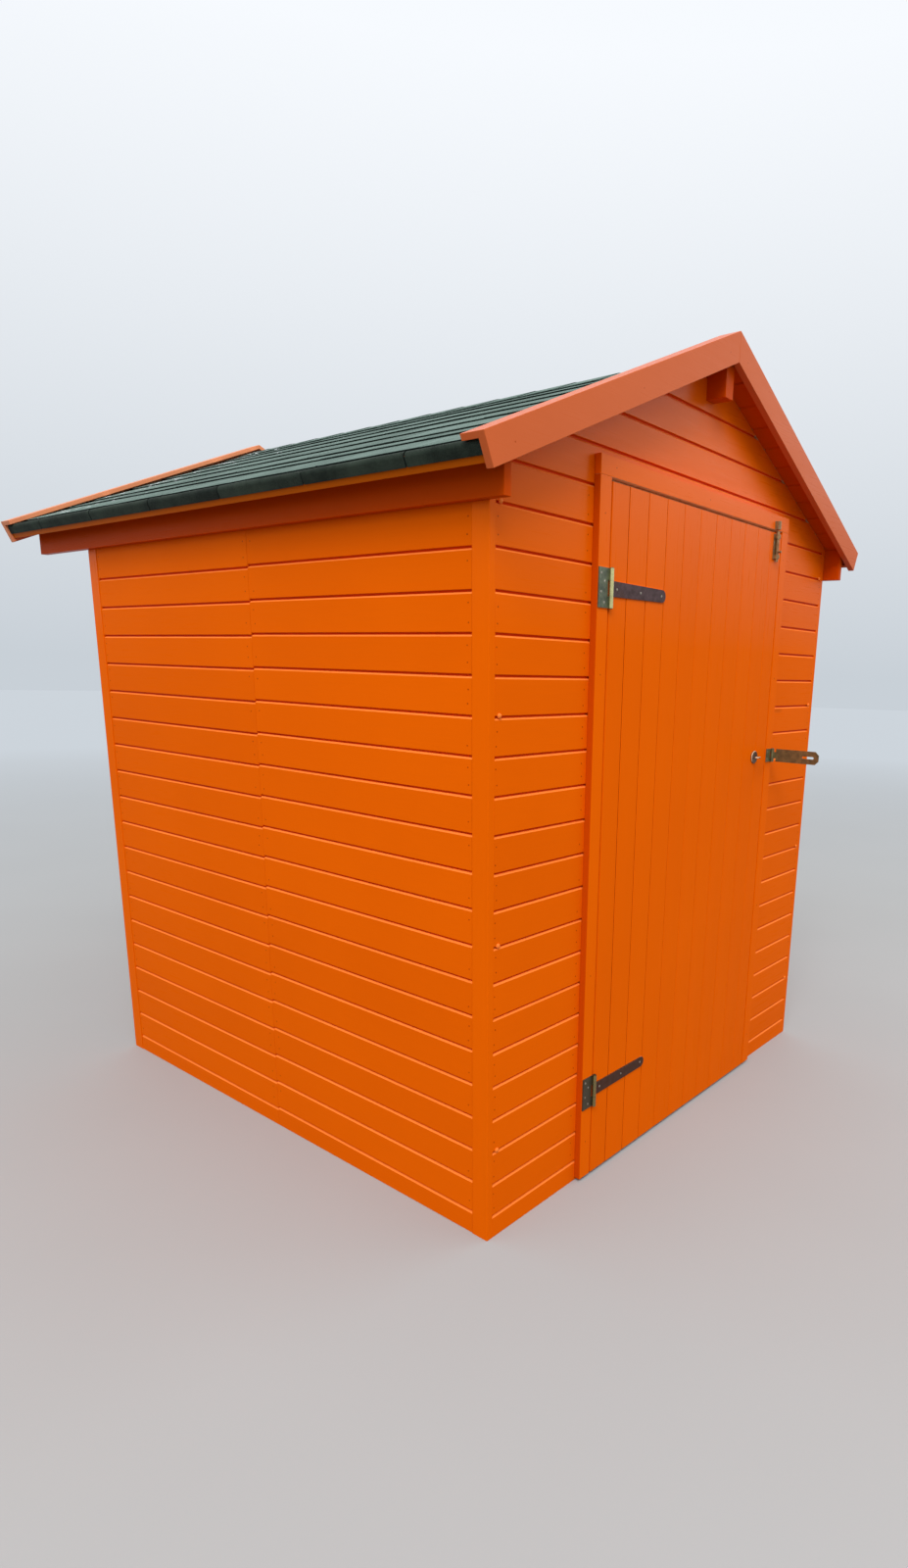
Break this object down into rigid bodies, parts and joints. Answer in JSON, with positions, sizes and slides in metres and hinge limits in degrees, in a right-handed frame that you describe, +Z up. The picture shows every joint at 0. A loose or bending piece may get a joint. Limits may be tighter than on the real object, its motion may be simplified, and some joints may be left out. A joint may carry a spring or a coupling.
{
  "type": "garden shed",
  "caption": "Small boarded garden shed with a felted gable roof, a hinged door with a barrel bolt and a hasp, and a hollow framed inside.",
  "frame": {"origin": "on the ground in the doorway, in the middle of the opening's width and of the front wall's thickness", "axes": "+X to the right along the front wall for someone who faces the door, +Y back into the shed, +Z up"},
  "size_m": [1.982, 2.4162, 2.3244],
  "materials": {
    "orange_paint": "gloss exterior paint over shiplap boards",
    "bare_timber": "sawn softwood, bare",
    "roof_felt": "mineral-faced bitumen felt shingles",
    "zinc_steel": "zinc-plated pressed steel, weathered",
    "dark_steel": "weathered dark steel"
  },
  "bodies": {
    "shed": {"front_wall_left": "orange_paint", "front_wall_right": "orange_paint", "front_gable": "orange_paint", "left_wall_front": "orange_paint", "left_wall_rear": "orange_paint", "right_wall_front": "orange_paint", "right_wall_rear": "orange_paint", "rear_wall": "orange_paint", "corner_trims_front": "orange_paint", "corner_trims_rear": "orange_paint", "door_post_left": "orange_paint", "door_post_right": "orange_paint", "door_header": "orange_paint", "ridge_beam": "orange_paint", "eaves_plate_left": "orange_paint", "eaves_plate_right": "orange_paint", "eave_fascias": "orange_paint", "bargeboard_front_left": "orange_paint", "bargeboard_front_right": "orange_paint", "bargeboard_rear_left": "orange_paint", "bargeboard_rear_right": "orange_paint", "front_studs": "bare_timber", "side_studs": "bare_timber", "rear_studs": "bare_timber", "bottom_rails": "bare_timber", "top_rails": "bare_timber", "door_head": "bare_timber", "roof_deck_left": "bare_timber", "roof_deck_right": "bare_timber", "shingles_left": "roof_felt", "shingles_right": "roof_felt", "ridge_felt": "roof_felt", "hinge_plates": "zinc_steel", "hinge_pins": "zinc_steel", "bolt_keep": "zinc_steel", "hasp_leaf": "zinc_steel"},
    "door": {"door_boards": "orange_paint", "door_ledges": "bare_timber", "door_braces": "bare_timber", "hinge_straps": "zinc_steel", "bolt_plate": "zinc_steel", "hasp_staple": "dark_steel"},
    "bolt": {"bolt_bar": "zinc_steel"},
    "hasp": {"hasp_strap": "zinc_steel"}
  },
  "joints": [
    {"name": "door_hinge", "type": "hinge", "parent": "shed", "child": "door", "pos_m": [-0.47525, -0.0562, 0.95], "axis": [0, 0, -1], "range_deg": [0, 165]},
    {"name": "bolt_slide", "type": "slide", "parent": "door", "child": "bolt", "axis": [0, 0, 1], "range_m": [0, 0.02]},
    {"name": "hasp_hinge", "type": "hinge", "parent": "shed", "child": "hasp", "pos_m": [0.518, -0.0562, 1.16], "axis": [0, 0, 1], "range_deg": [-90, 85]}
  ]
}
